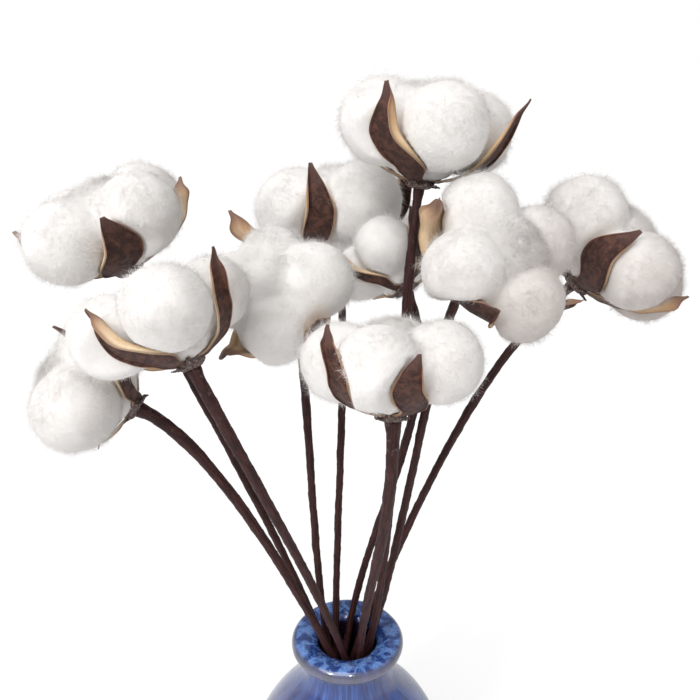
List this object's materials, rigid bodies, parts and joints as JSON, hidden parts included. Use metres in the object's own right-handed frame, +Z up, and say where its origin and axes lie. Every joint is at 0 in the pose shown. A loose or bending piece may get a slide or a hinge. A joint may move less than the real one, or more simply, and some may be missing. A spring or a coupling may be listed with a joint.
{
  "type": "cotton stem bunch",
  "caption": "Bunch of fluffy cotton bolls in dark open burrs, on thin paper-wrapped stems fanning out of a squat blue glazed bottle vase.",
  "frame": {"origin": "centre of the vase's flat foot, on the surface it stands on", "axes": "+Z up along the vase's axis; +X to the right as the bunch is seen from its front, with the far-reaching boll on that side; +Y to the back"},
  "size_m": [0.2773, 0.1696, 0.371],
  "materials": {
    "vase": "glossy reactive blue glaze, mottled light blue on the lip, slate at its edge, streaked on neck and shoulder",
    "stem": "dark reddish brown paper tape wound over a wire, matt with faint ridges",
    "burr": "dry leathery brown husk outside, tan to cream inside and along its rolled margins",
    "cotton": "white cotton lint, fluffy and matt"
  },
  "bodies": {
    "root": {"vase": "vase", "stem_01": "stem", "stem_02": "stem", "stem_03": "stem", "stem_04": "stem", "stem_05": "stem", "stem_06": "stem", "stem_07": "stem", "stem_08": "stem", "stem_09": "stem", "stem_10": "stem", "burr_01": "burr", "burr_02": "burr", "burr_03": "burr", "burr_04": "burr", "burr_05": "burr", "burr_06": "burr", "burr_07": "burr", "burr_08": "burr", "burr_09": "burr", "burr_10": "burr", "cotton_01": "cotton", "cotton_02": "cotton", "cotton_03": "cotton", "cotton_04": "cotton", "cotton_05": "cotton", "cotton_06": "cotton", "cotton_07": "cotton", "cotton_08": "cotton", "cotton_09": "cotton", "cotton_10": "cotton"}
  },
  "joints": []
}
